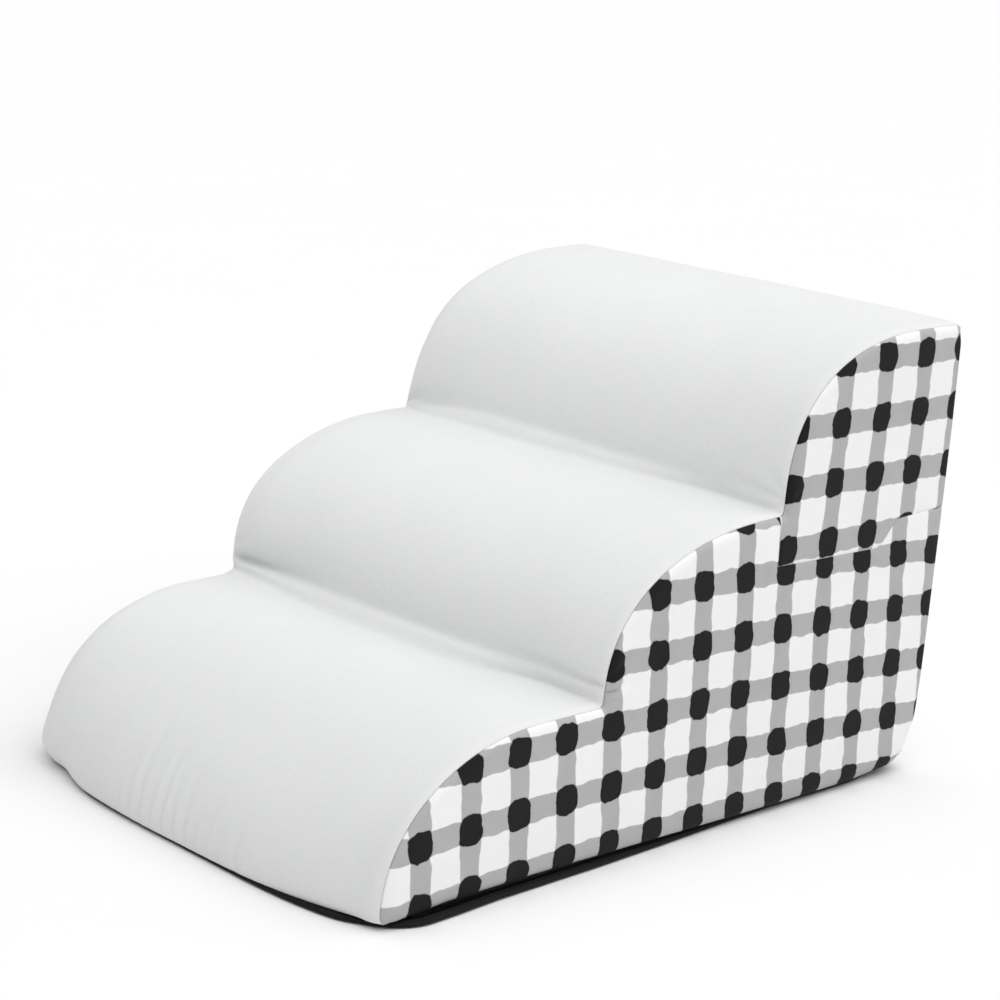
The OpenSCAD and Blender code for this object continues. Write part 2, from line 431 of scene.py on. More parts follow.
def black_cloth(name, scale, value=0.006):
    """Black woven tape or base fabric, with its ribs in the bump."""
    n = Nodes(name)
    place = n.place()
    grain = n.noise(place, 900, 2)
    color = n.mix(grain, grey(value), grey(value * 2.2))
    ribs = n.math("MULTIPLY", n.wave(place, scale, "DIAGONAL"), n.wave(place, scale, "Z"))
    return n.finish(color, n.bump(ribs, 0.5, 0.15 * MM), 0.8, 0.02)


def black_plain(name, value, roughness, metallic=0.0):
    """Nylon, rubber or painted metal, with fine unevenness in its gloss and surface."""
    n = Nodes(name)
    place = n.place()
    grain = n.noise(place, 700, 3)
    color = n.mix(grain, grey(value), grey(value * 1.6))
    rough = n.ramp(grain, 0, 1)
    spread = n.math("ADD", n.math("MULTIPLY", rough, 0.15), roughness)
    n.link(spread, n.shader.inputs["Roughness"])
    n.link(color, n.shader.inputs["Base Color"])
    n.link(n.bump(grain, 0.15, 0.05 * MM), n.shader.inputs["Normal"])
    n.shader.inputs["Metallic"].default_value = metallic
    return n.material


def foam_material():
    n = Nodes("foam")
    place = n.place()
    cells = n.noise(place, 500, 4, 0.7)
    broad = n.noise(place, 8, 2)
    color = n.mix(broad, (0.80, 0.71, 0.46, 1), (0.86, 0.78, 0.55, 1))
    return n.finish(color, n.bump(cells, 0.6, 0.8 * MM), 0.95, 0.0)


PLUSH = plush_material()
PRINT = print_material("printed_cotton", MAIN_CLOTH)
PRINT_PATCH = print_material("printed_cotton_patch", PATCH_CLOTH)
BASE_CLOTH = black_cloth("base_fabric", THREADS, 0.003)
TAPE = black_cloth("black_tape", 330)
NYLON = black_plain("black_nylon", 0.012, 0.35)
METAL = black_plain("black_metal", 0.02, 0.3, 0.6)
GRIP = black_plain("grip_rubber", 0.010, 0.55)
FOAM = foam_material()

# ---- side outline of the cover ----


def nose(start, foot, run, rise, power, steps=40):
    """Rounded nose from the foot of a riser to the tread above it."""
    a = np.linspace(0, math.pi / 2, steps)
    cos, sin = np.clip(np.cos(a), 0, 1), np.sin(a)
    return np.stack([start + run * (1 - cos ** (2 / power)), foot + rise * sin ** (2 / power)], 1)


def arc(y, z, r, start, end, steps=12):
    a = np.radians(np.linspace(start, end, steps))
    return np.stack([y + r * np.cos(a), z + r * np.sin(a)], 1)


def tread_line():
    """The outline from the toe to the top rear edge, a point every millimetre."""
    toe_z = TOE_R + TOE_LIFT
    parts = [
        arc(FRONT + TOE_R, toe_z, TOE_R, 225, 180),
        nose(FRONT, toe_z, NOSE_1_RUN, NOTCH_1[1] - toe_z, NOSE_POWERS[0]),
        nose(NOTCH_1[0], NOTCH_1[1], *(NOTCH_2 - NOTCH_1), NOSE_POWERS[1]),
        nose(NOTCH_2[0], NOTCH_2[1], NOSE_3_RUN, TOP - NOTCH_2[1], NOSE_POWERS[2]),
        arc(BACK + REAR_OUT - TOP_REAR_R, TOP - TOP_REAR_R, TOP_REAR_R, 90, 45),
    ]
    return resample(np.concatenate(parts), 1 * MM)


LINE = tread_line()
TIGHT = blur(LINE, 1.6)
COUNT = len(LINE)
AT_NOTCH = [int(np.argmin(np.linalg.norm(LINE - p, axis=1))) for p in (NOTCH_1, NOTCH_2)]
INDEX = np.arange(COUNT)
STEP_1, STEP_2 = AT_NOTCH
tangent = np.gradient(blur(LINE, 9), axis=0)
normal = np.stack([-tangent[:, 1], tangent[:, 0]], 1)
# At the toe the cover is pressed straight back, not up
share = smooth((INDEX - 4) / 34)[:, None]
normal = normal / np.linalg.norm(normal, axis=1)[:, None] * share + np.array([-1, 0]) * (1 - share)
NORMAL = normal / np.linalg.norm(normal, axis=1)[:, None]
NEAR_NOTCH = sum(bump((INDEX - k) / 34) for k in AT_NOTCH)
# The bulge of the plush at mid-width: most on the second step
CROWN = MM * np.interp(
    INDEX, [0, 60, STEP_1 - 60, STEP_1 + 40, STEP_2 - 60, STEP_2 + 40, COUNT],
    [0.5, 1.5, 2.0, 4.0, 3.5, 1.5, 0.8])
# Rounding of the edge that each seam runs along, in the order left, right
LEFT_R = (
    (0, 43), (8, 45), (40, 47), (62, 44), (90, 37), (130, 31), (190, 27),
    (STEP_1 - 14, 23), (STEP_1 + 6, 9), (STEP_1 + 60, 4),
    (STEP_2 - 60, 6), (STEP_2 - 25, 12), (STEP_2 + 2, 11), (STEP_2 + 25, 18),
    (STEP_2 + 60, 25), (STEP_2 + 130, 28), (STEP_2 + 190, 26), (STEP_2 + 250, 16), (STEP_2 + 290, 9),
)
EDGE_R = {
    -1: MM * np.interp(INDEX, *zip(*LEFT_R)),
    1: MM * np.interp(INDEX, [0, 15, 80, COUNT], [17, 15, 9, 9]),
}
# How far each seam lies outside the plain width; the left front is drawn in
EDGE_OUT = {
    -1: MM * np.interp(INDEX, [0, 15, 45, 100, 230, COUNT], [0.5, 0.5, -1.5, -1.5, 2, 2]),
    1: np.full(COUNT, SEAM_OUT),
}
FRONT_BOW = 14.5 * MM


def front_bow(x):
    """How far the lower front edge bows forward at a place across the ramp."""
    return FRONT_BOW * np.clip(1 - np.abs((x - 15 * MM) / (165 * MM)) ** 3.2, 0, 1)


# How soon the bulge starts, going in from each seam; on the left the second step is full at once
CROWN_REACH = {
    -1: MM * np.interp(
        INDEX, [0, STEP_1, STEP_1 + 50, STEP_2 - 50, STEP_2, COUNT], [70, 60, 22, 26, 60, 60]),
    1: np.full(COUNT, 70 * MM),
}
# The plush spans each notch with a flat bridge. From the left seam to the right one, in
# millimetres: the place, and how far the bridge reaches over the tread and up the riser
BRIDGE_AT = (0, 13, 29, 46, 71, 109, 158, 244, 288, 331, 363, 390, 400)
BRIDGES = (
    ((-3, 1, 6, 10, 13, 16, 20, 20, 18, 6, -2, -6, -6),
     (8, 9, 9, 10, 11, 12, 12.5, 13, 13, 13, 12, 12, 12)),
    ((-2, 3, 9, 11, 12, 12, 13, 11, 7, 1.5, -3, -4, -5),
     (8, 5, 6, 9, 13, 14.5, 14, 12, 12, 12, 12, 12, 12)),
)
# At mid-width, how far the tread sags before each notch and the riser bulges after it
NOTCH_SAG = 3.5 * MM, 0.5 * MM
NOTCH_BULGE = 1.5 * MM, 0.5 * MM


def notch_profile(x):
    """The outline at a place across the ramp, with its notches bridged."""
    from_left = x + HALF_W
    middle = smooth(from_left / (120 * MM)) * smooth((2 * HALF_W - from_left) / (150 * MM))
    line = LINE.copy()
    for notch, k in enumerate(AT_NOTCH):
        line[:, 1] -= NOTCH_SAG[notch] * middle * bump((INDEX - k + 8) / 40)
        line[:, 0] -= NOTCH_BULGE[notch] * middle * bump((INDEX - k - 6) / np.where(INDEX > k + 6, 85, 20))
        over, up = (np.interp(from_left / MM, BRIDGE_AT, row) for row in BRIDGES[notch])
        ends = [[np.interp(k + d, INDEX, line[:, c]) for c in (0, 1)] for d in (-over, up)]
        spanned = (INDEX > k - over) & (INDEX < k + up)
        t = ((INDEX[spanned] - (k - over)) / (over + up))[:, None]
        line[spanned] = np.array(ends[0]) * (1 - t) + np.array(ends[1]) * t
    return blur(line, 1.6 + 1.0 * middle)


def crease(along, across, start, angle, length, width, depth):
    """A soft fold: it starts at start, runs at angle degrees and fades over its length."""
    a = math.radians(angle)
    u = (along - start[0]) * math.cos(a) + (across - start[1]) * math.sin(a)
    v = (across - start[1]) * math.cos(a) - (along - start[0]) * math.sin(a)
    fade = smooth(u / (0.06 * length)) * (1 - smooth(u / length))
    spread = width * (0.5 + np.clip(u / length, 0, 1))
    return -depth * fade * bump(v / spread)


def slow_waves(a, b):
    """Gentle unevenness of a filled cover."""
    return (
        0.35 * np.sin(a / 0.037 + 1.1) * np.sin(b / 0.049 + 0.4)
        + 0.25 * np.sin(a / 0.021 + 2.7 + b / 0.06) * np.sin(b / 0.027 + 1.9)
        + 0.15 * np.sin(a / 0.011 + 0.3 - b / 0.03) * np.sin(b / 0.017 + 3.1)
    ) * MM


# ---- plush over the treads ----


# Creases that run in from the seams at each notch: notch, side, height above the notch line,
# angle, length, width and depth, in millimetres and degrees
CREASES = (
    (0, -1, 8.5, 3, 150, 6, 8.5), (0, -1, 12, 6, 210, 12, 2.2),
    (0, -1, 2, -21, 62, 2.4, 1.5),
    (0, -1, 18, 19, 60, 5, 0.8),
    (0, 1, 12, 2, 110, 4.2, 3.6),
    (1, -1, 5, 20, 34, 3.6, 3.6), (1, -1, 10, 5, 110, 9, 1.0), (1, -1, -1, -12, 60, 2.6, 0.8),
    (1, 1, 10, 7, 70, 4.5, 2.0), (1, 1, 13, 38, 44, 4, 1.4), (1, 1, 4, -8, 50, 3, 0.8),
)
# Soft upright folds low on the front: place across, width, depth and height
FOLDS = (
    (-60, 3.6, 1.2, 60), (-46, 3.4, 1.8, 78), (-34, 3.2, 2.6, 92), (-22, 3.2, 2.0, 70),
    (-9, 3.4, 2.8, 88), (4, 3.2, 2.2, 70), (16, 3.4, 2.6, 76), (28, 3.2, 1.8, 60),
    (40, 3.4, 2.2, 62), (54, 3.6, 1.4, 50), (71, 3.2, 2.8, 52), (-98, 5, 1.0, 56),
    (-140, 5, 0.8, 48), (112, 5, 0.8, 40),
)
FOLD_STRENGTH = 1.25


def tread_relief(along, x):
    """Wrinkles of the plush: along is the distance from the toe, x from the middle."""
    relief = slow_waves(along, x)
    for notch, side, start, angle, length, width, depth in CREASES:
        d = HALF_W - side * x
        at = along - AT_NOTCH[notch] * MM
        relief = relief + crease(d, at, (0, start * MM), angle, length * MM, width * MM, depth * MM)
    for place, width, depth, high in FOLDS:
        fade = smooth(along / (7 * MM)) * (1 - smooth(along / (high * MM)))
        lean = 0.12 * along * np.sin(place)
        away = (x - place * MM - lean) / (width * MM)
        relief = relief - FOLD_STRENGTH * depth * MM * fade * bump(away)
    dent = bump((x + 150 * MM) / (26 * MM)) * bump((along - 165 * MM) / (22 * MM))
    return relief - 0.9 * MM * dent


def toe_tuck(x):
    """How far the cover's front edge is drawn back low at its left corner."""
    return 7.5 * MM * smooth((-x - 100 * MM) / (65 * MM))


def toe_rise(x):
    """How far the toe's edge is lifted towards the right corner, where more of the band shows."""
    return 2 * MM * smooth((x - 90 * MM) / (100 * MM))


def tread_point_rows():
    """Rows of points across the ramp, from the toe to the top rear edge."""
    close = [np.arange(k - 26, k + 27, 2) for k in AT_NOTCH]
    rows = np.unique(np.round(np.concatenate([
        np.arange(0, 14, 2), np.arange(14, COUNT - 16, 4), np.linspace(COUNT - 16, COUNT - 1, 8), *close
    ]))).astype(int)
    near = np.array([0, 0.7, 1.6, 2.8, 4.4, 6.4, 9, 12.5, 17, 22]) * MM
    far = np.arange(27 * MM, HALF_W - 84 * MM, 5.2 * MM)
    finer = np.linspace(far[-1] + 4 * MM, HALF_W - 1.5 * MM, 31)
    inward = np.concatenate([near, far, finer])
    profiles = {
        side: np.array([notch_profile(side * (HALF_W + SEAM_OUT - d)) for d in inward])
        for side in (-1, 1)
    }
    grid = []
    for i in rows:
        half = []
        for side in (-1, 1):
            radius = EDGE_R[side][i]
            at_rear = max(BACK + REAR_OUT - MID_ARC * REAR_R - TIGHT[i, 0], 0)
            seam_x = HALF_W + EDGE_OUT[side][i] - MID_ARC * radius
            seam_x = min(seam_x, HALF_W + SEAM_OUT - rounding(REAR_R, at_rear))
            d = inward * seam_x / HALF_W
            x = side * (seam_x - d)
            line = profiles[side][:, i]
            lift = CROWN[i] * smooth(d / CROWN_REACH[side][i]) - rounding(radius, d)
            lift = lift + tread_relief(i * MM, x) * smooth(d / (3 * MM))
            flat = line + lift[:, None] * NORMAL[i]
            flat[:, 0] -= front_bow(x) * (1 - smooth(i / 105))
            flat[:, 0] += toe_tuck(x) * (1 - smooth(i / 17))
            flat[:, 1] += toe_rise(x) * (1 - smooth(i / 26))
            half.append(np.column_stack([x, flat]))
        grid.append(np.concatenate([half[0], half[1][::-1]]))
    return rows, np.array(grid)


def inward_of(i, side):
    """Direction into the ramp from the seam at row i."""
    n = NORMAL[i]
    v = np.array([-side, -n[0], -n[1]])
    return v / np.linalg.norm(v)


ROWS, TREAD = tread_point_rows()


def make_tread():
    """The plush strip, with its sewn edges turned in."""
    left = np.array([TREAD[r, 0] + TUCK * inward_of(i, -1) for r, i in enumerate(ROWS)])
    right = np.array([TREAD[r, -1] + TUCK * inward_of(i, 1) for r, i in enumerate(ROWS)])
    grid = np.concatenate([left[:, None], TREAD, right[:, None]], 1)
    toe = grid[0] + np.array([0, 3.5, 0.5]) * MM
    rear = grid[-1] + np.array([0, -2.2, -2.2]) * MM
    grid = np.concatenate([toe[None], grid, rear[None]])
    obj = mesh_object("tread_cover", grid.reshape(-1, 3), grid_faces(*grid.shape[:2]), PLUSH)
    thicken(obj, 1.4 * MM, 1)
    declare(obj, "tread_panel")


# ---- flat panels cut to an outline ----

# The mesh of a panel: how far in its edge rings lie, and the pitch of the grid inside them
RINGS = np.array([1.2, 2.6, 4.4, 6.8, 10, 14, 19]) * MM
PANEL_MESH = 5.5 * MM
# The finer mesh behind and around a notch, in millimetres
FINE_MESH = np.arange(-1, 24, 1.1), np.arange(-7, 15, 0.8)


def nearest(points, line):
    """Distance from each point to a line, and the index of the line's segment it is nearest to."""
    tree = KDTree(len(line))
    for i, p in enumerate(line):
        tree.insert((p[0], p[1], 0), i)
    tree.balance()
    found = np.array([tree.find((p[0], p[1], 0))[1] for p in points])
    far = np.full(len(points), np.inf)
    index = np.zeros(len(points), int)
    for first in (found - 1, found):
        first = np.clip(first, 0, len(line) - 2)
        a, ab = line[first], line[first + 1] - line[first]
        t = np.clip(((points - a) * ab).sum(1) / np.maximum((ab ** 2).sum(1), 1e-18), 0, 1)
        away = np.linalg.norm(points - a - t[:, None] * ab, axis=1)
        closer = away < far
        far[closer], index[closer] = away[closer], first[closer]
    return far, index


def inside(points, loop):
    """True for the points inside the closed loop."""
    a, b = loop, np.roll(loop, -1, 0)
    x, y = points[:, :1], points[:, 1:]
    crosses = (a[:, 1] > y) != (b[:, 1] > y)
    span = np.where(b[:, 1] == a[:, 1], 1e-12, b[:, 1] - a[:, 1])
    at = a[:, 0] + (y - a[:, 1]) * (b[:, 0] - a[:, 0]) / span
    return (crosses & (x < at)).sum(1) % 2 == 1


def panel_points(flat, closed, close):
    """Points inside a panel's outline: rings along its edge, a plain grid, and a finer one at
    each place in close."""
    normal = inward_normals(flat)
    inner = []
    for r in RINGS:
        ring = flat + r * normal
        far, _ = nearest(ring, closed)
        inner.append(ring[(far > 0.96 * r) & inside(ring, flat)])
    low, high = flat.min(0), flat.max(0)
    grid = grid_points(np.arange(low[0], high[0], PANEL_MESH), np.arange(low[1], high[1], PANEL_MESH))
    grid = grid[inside(grid, flat)]
    far, _ = nearest(grid, closed)
    inner.append(grid[far > RINGS[-1] + 0.55 * PANEL_MESH])
    inner = np.concatenate(inner)
    for place in close:
        fine = grid_points(*FINE_MESH) * MM + place
        around = (inner > fine.min(0) - MM) & (inner < fine.max(0) + MM)
        fine = fine[inside(fine, flat)]
        if len(fine):
            fine = fine[nearest(fine, closed)[0] > 1.1 * MM]
            inner = np.concatenate([inner[~around.all(1)], fine])
    return inner


def cut_panel(name, flat, edge, turned, surface, material, flip=False, close=()):
    """A panel of cloth. flat is its outline in the panel's own plane, edge where each outline
    point lies in space, turned the way its hem turns in, and surface(flat points) the face.
    close are places that need a finer mesh for their small folds."""
    flat, edge, turned = np.array(flat), np.array(edge), np.array(turned)
    if signed_area(flat) < 0:
        flat, edge, turned = flat[::-1], edge[::-1], turned[::-1]
    closed = np.concatenate([flat, flat[:1]])
    count = len(flat)
    where, faces, source = fill_outline(np.concatenate([flat, panel_points(flat, closed, close)]), count)

    place = surface(where)
    far, seg = nearest(where, closed)
    error = edge - surface(flat)
    place = place + error[seg % count] * np.exp(-np.square(far / (7 * MM)))[:, None]
    at = {s: i for i, s in enumerate(source) if 0 <= s < count}
    for s, i in at.items():
        place[i] = edge[s]
    ring = [at[s] for s in range(count)]
    hem = len(place) + np.arange(count)
    place = np.concatenate([place, edge + turned])
    for k in range(count):
        after = (k + 1) % count
        faces.append((ring[after], ring[k], hem[k], hem[after]))
    if flip:
        faces = [f[::-1] for f in faces]
    return mesh_object(name, place, faces, material)


# ---- printed sides ----

# Lower edge of the right side: millimetres behind the front, and height
HEM_AT = 0, 20, 60, 140, 330, 470, 525, 560
HEM_HIGH = 4, 6.5, 9, 9.2, 6.5, 4.8, 7.5, 14


def hem_height(side, y):
    """Height of the lower edge of a side panel; on the right it sags over the band."""
    if side < 0:
        return np.full_like(y, PANEL_LOW)
    return MM * np.interp((y - FRONT) / MM, HEM_AT, HEM_HIGH)


def patch_height(y):
    """Height of the seam below the patch: nearly level, then a rise, then level again."""
    rise = smooth((y - PATCH_BEND) / PATCH_RISE_LONG)
    before, after = np.minimum(y, PATCH_BEND) - PATCH_Y, np.maximum(y - PATCH_BEND, 0)
    return PATCH_LOW + before * PATCH_SLOPES[0] + after * PATCH_SLOPES[1] + PATCH_RISE * rise


# Folds of the sides at the notches: notch, place behind and above it, angle, length, width, depth
SIDE_FOLDS = (
    (NOTCH_1, 1, 7.5, 2, 20, 1.2, 2.8), (NOTCH_1, 0, 2.5, -4, 17, 1.1, 2.2),
    (NOTCH_1, 2, 15, 34, 62, 3.6, 1.7), (NOTCH_1, 2, 5, 20, 80, 4.5, 1.4),
    (NOTCH_1, 0, 27, 44, 46, 4, 0.9),
    (NOTCH_2, 1, 6, 24, 46, 3, 0.6), (NOTCH_2, 1, -2, -8, 40, 3, 0.5),
)


def hem_radius(y):
    """Radius of a side's lower edge, which is rounder near the back."""
    return MM * np.interp((y - FRONT) / MM, [0, 380, 500, 560], [8, 8, 16, 20])


def side_surface(side, top, radius, out, patch_line):
    """The face of a side panel over its (y, z) outline."""

    def face(p):
        y, z = p[:, 0], p[:, 1]
        to_top, k = nearest(p, top)
        to_rear = np.maximum(rear_seam(z)[1] - y, 0)
        to_low = np.maximum(z - hem_height(side, y), 0)
        to_patch, _ = nearest(p, patch_line)
        inset = rounding(radius[k], to_top) + rounding(rear_radius(z), to_rear)
        inset = inset + rounding(hem_radius(y), to_low) * 0.8
        inset = inset + 0.7 * MM * bump(to_patch / (1.6 * MM))
        middle = np.minimum(np.minimum(to_top, to_rear), to_low)
        bulge = 1.2 * MM * (1 - np.exp(-middle / (45 * MM)))
        folds = slow_waves(y + 0.3 * side, z) * smooth(middle / (12 * MM))
        for notch, behind, above, angle, length, width, depth in SIDE_FOLDS:
            start = (notch[0] + behind * MM, notch[1] + above * MM)
            folds = folds + crease(y, z, start, angle, length * MM, width * MM, depth * MM)
        plain = out[k] + (SEAM_OUT - out[k]) * smooth(to_top / (120 * MM))
        return np.stack([side * (HALF_W + plain - inset + bulge + folds), y, z], 1)

    return face


def make_side(side):
    """Both pieces of one printed side: the large lower panel and the patch behind the steps."""
    label = "right" if side > 0 else "left"
    column = 0 if side < 0 else -1
    line = TREAD[:, column]
    radius_of = EDGE_R[side][ROWS]
    fine = resample(np.column_stack(
        [line, radius_of, EDGE_OUT[side][ROWS], [inward_of(i, side) for i in ROWS]]), 2.8 * MM)
    seam, radius, out, turn = fine[:, :3], fine[:, 3], fine[:, 4], fine[:, 5:]
    flat = seam[:, 1:]
    corner = seam[-1]

    def rear_at(z):
        """The upright rear seam, which bends to the cover's top corner."""
        t = smooth((z - (corner[2] - 16 * MM)) / (16 * MM))
        x, y = rear_seam(z)
        return np.array([side * x + (corner[0] - side * x) * t, y + (corner[1] - y) * t, z])

    end_y = float(rear_seam(200 * MM)[1])
    patch_y = np.linspace(PATCH_Y, end_y, 70)
    seam_line = np.column_stack([patch_y, patch_height(patch_y)])
    cut = int(np.argmin(np.linalg.norm(flat - [PATCH_Y, NOTCH_2[1]], axis=1)))
    upright = resample([[PATCH_Y, flat[cut, 1]], [PATCH_Y, patch_height(PATCH_Y)]], 2.8 * MM)[1:-1]
    patch_line = np.concatenate([upright, seam_line])
    face = side_surface(side, flat, radius, out, patch_line)

    rear_z = np.arange(hem_height(side, np.array([end_y]))[0], corner[2], 2.8 * MM)
    rear = np.array([rear_at(z) for z in rear_z])
    diagonal = np.array([-side, -1, 0]) / math.sqrt(2)
    straight_in = np.array([-side, 0, 0])
    low_y = np.arange(rear[0, 1] - 2.8 * MM, seam[0, 1] + 2 * MM, -2.8 * MM)
    low = np.column_stack([low_y, hem_height(side, low_y)])
    low_edge = face(low)
    low_turn = np.array([-side, 0, 0.35]) / math.hypot(1, 0.35)

    def repeated(v, points):
        return np.tile(v, (len(points), 1))

    split = rear[:, 2] < patch_height(end_y)
    groove = np.concatenate([upright, seam_line[:-1]])
    groove_edge = face(groove)
    lower_flat = np.concatenate([flat[:cut], groove, rear[split][::-1, 1:], low])
    lower_edge = np.concatenate([seam[:cut], groove_edge, rear[split][::-1], low_edge])
    lower_turn = np.concatenate([
        turn[:cut], repeated(straight_in, groove), repeated(diagonal, rear[split]),
        repeated(low_turn, low)])
    upper_flat = np.concatenate([flat[cut:-1], [corner[1:]], rear[~split][::-1, 1:], groove[::-1]])
    upper_edge = np.concatenate([seam[cut:-1], [corner], rear[~split][::-1], groove_edge[::-1]])
    upper_turn = np.concatenate([
        turn[cut:], repeated(diagonal, rear[~split]), repeated(straight_in, groove)])

    pieces = (
        ("lower", lower_flat, lower_edge, lower_turn, PRINT),
        ("upper", upper_flat, upper_edge, upper_turn, PRINT_PATCH),
    )
    for part, outline, edge, turned, material in pieces:
        obj = cut_panel(f"side_cover_{label}_{part}", outline, edge, TUCK * turned, face, material,
                        flip=side < 0, close=(NOTCH_1, NOTCH_2))
        thicken(obj, 0.7 * MM)
        declare(obj, f"side_panel_{label}_{part}")
    return rear


# ---- back ----


def make_back(rear_right, rear_left):
    """The plush back, sewn to both sides and to the strip over the treads."""
    top = resample(TREAD[-1], 3 * MM)
    corner_x = abs(top[0, 0])
    low_z = PANEL_LOW - 1 * MM
    right = rear_right[rear_right[:, 2] > low_z]
    left = rear_left[rear_left[:, 2] > low_z]
    low_x = np.arange(-HALF_W + 8 * MM, HALF_W - 7 * MM, 3 * MM)
    side_line = np.concatenate([right[:, [0, 2]], top[::-1][:, [0, 2]], left[::-1][:, [0, 2]]])

    def face(p):
        x, z = p[:, 0], p[:, 1]
        to_side = np.maximum(rear_seam(z)[0] - np.abs(x), 0)
        to_top = np.maximum(top[:, 2].mean() - z, 0)
        to_low = np.maximum(z - low_z, 0)
        inset = rounding(rear_radius(z), to_side) + rounding(TOP_REAR_R, to_top)
        inset = inset + rounding(7 * MM, to_low) * 0.8
        middle = np.minimum(np.minimum(to_side, to_top), to_low)
        bulge = 1.5 * MM * (1 - np.exp(-middle / (50 * MM)))
        folds = slow_waves(x + 0.7, z) * smooth(middle / (12 * MM))
        return np.stack([x, rear_face(z) - inset + bulge + folds, z], 1)

    low = np.column_stack([low_x, np.full(len(low_x), low_z)])
    outline = np.concatenate([low, side_line])
    edge = np.concatenate([face(low), right, top[::-1], left[::-1]])
    turn = np.concatenate([
        np.tile([0, -1, 0.3], (len(low), 1)),
        np.tile([-0.7, -0.7, 0], (len(right), 1)),
        np.tile([0, -0.7, -0.7], (len(top), 1)),
        np.tile([0.7, -0.7, 0], (len(left), 1)),
    ])
    obj = cut_panel("back_cover", outline, edge, TUCK * turn, face, PLUSH, flip=True)
    thicken(obj, 1.0 * MM)
    declare(obj, "back_panel")


# ---- base, with its grip dots ----


def rounded_floor(inset, back, front_r, rear_r, steps, spacing):
    """A rounded rectangle on the floor, anticlockwise from the right of the front."""
    x, y_low, y_high = HALF_W - inset, FRONT + inset, back - inset
    front_r, rear_r = front_r - inset, rear_r - inset
    corners = (
        (x - front_r, y_low + front_r, front_r, 270), (x - rear_r, y_high - rear_r, rear_r, 0),
        (rear_r - x, y_high - rear_r, rear_r, 90), (front_r - x, y_low + front_r, front_r, 180),
    )
    loop = np.concatenate([arc(cx, cy, r, a, a + 90, steps) for cx, cy, r, a in corners])
    return closed_loop(loop, spacing)


def drawn_corner(loop, side, reach, inward, forward):
    """The outline with its rear corner on one side drawn in, from that reach before the corner."""
    behind = smooth((loop[:, 1] - (BACK - reach)) / (0.86 * reach))
    outside = smooth((side * loop[:, 0] - (HALF_W - 1.14 * reach)) / (0.86 * reach))
    return loop - (behind * outside)[:, None] * np.array([side * inward, forward])


# The base's outline against the plain width: it flares near the front right and draws in
# towards the back, in millimetres behind the front and out from the plain width
FLARE_AT = (0, 35, 65, 105, 200, 264, 340, 430, 520, 560)
FLARE_OUT = (5, 6, 5, 2.5, 1, -1.2, -4.8, -8, -12, -13)
BASE_CORNER = 42 * MM
BASE_REAR_CORNER = REAR_CORNER + 10 * MM
BASE_BACK = BACK - 8 * MM
# Rear corners drawn in, of the base and of the band: side, reach, then how far in and forward
BASE_DRAWN = 1, 70 * MM, 5 * MM, 5 * MM
BAND_DRAWN = (1, 76 * MM, 9 * MM, 1.5 * MM), (-1, 21 * MM, 4 * MM, 0)
# How far the band is set forward behind the back panel, and how soon
BAND_FORWARD = 6 * MM
BAND_REACH = 20 * MM


def base_loop(inset, spacing=3 * MM, flare=True):
    """The base's outline at an inset, bowed at the front and flared on the right."""
    loop = rounded_floor(inset, BASE_BACK, BASE_CORNER, BASE_REAR_CORNER, 16, spacing)
    behind = (loop[:, 1] - FRONT) / MM
    if flare:
        right = smooth((loop[:, 0] - 0.6 * HALF_W) / (0.4 * HALF_W))
        loop[:, 0] += right * MM * np.interp(behind, FLARE_AT, FLARE_OUT)
        drawn_in = 3.2 * MM * (1 - smooth((loop[:, 0] - 40 * MM) / (130 * MM)))
        loop[:, 1] += drawn_in * (1 - smooth(behind / 40))
    at_toe = 1 - smooth(behind / 34)
    loop[:, 1] += 1.3 * toe_tuck(loop[:, 0]) * at_toe
    loop[:, 0] += 5 * MM * smooth((-loop[:, 0] - 130 * MM) / (50 * MM)) * at_toe
    loop[:, 1] -= front_bow(loop[:, 0]) * (1 - smooth(behind / 60))
    return drawn_corner(loop, *BASE_DRAWN)


def welt_share(loop):
    """1 where the base's welt is full, at the front and right, and 0 by the zip's slider."""
    on_right = smooth((loop[:, 0] + 0.3 * HALF_W) / (0.9 * HALF_W))
    at_back = smooth((loop[:, 1] - (BACK - 40 * MM)) / (30 * MM))
    return on_right * (1 - 0.8 * at_back)


# Section of the welt round the base, full and low: inset and height in millimetres
WELT_FULL = (
    (6, 0.5), (2.5, 0.45), (-0.4, 0.7), (-1.9, 1.6), (-1.9, 2.8), (-0.6, 3.8), (2, 4.1), (4.5, 3.6),
)
WELT_LOW = (
    (6, 0.5), (3.4, 0.45), (1.9, 0.6), (1.2, 0.9), (1.2, 1.4), (2.0, 1.8), (3.2, 2.0), (4.5, 1.9),
)


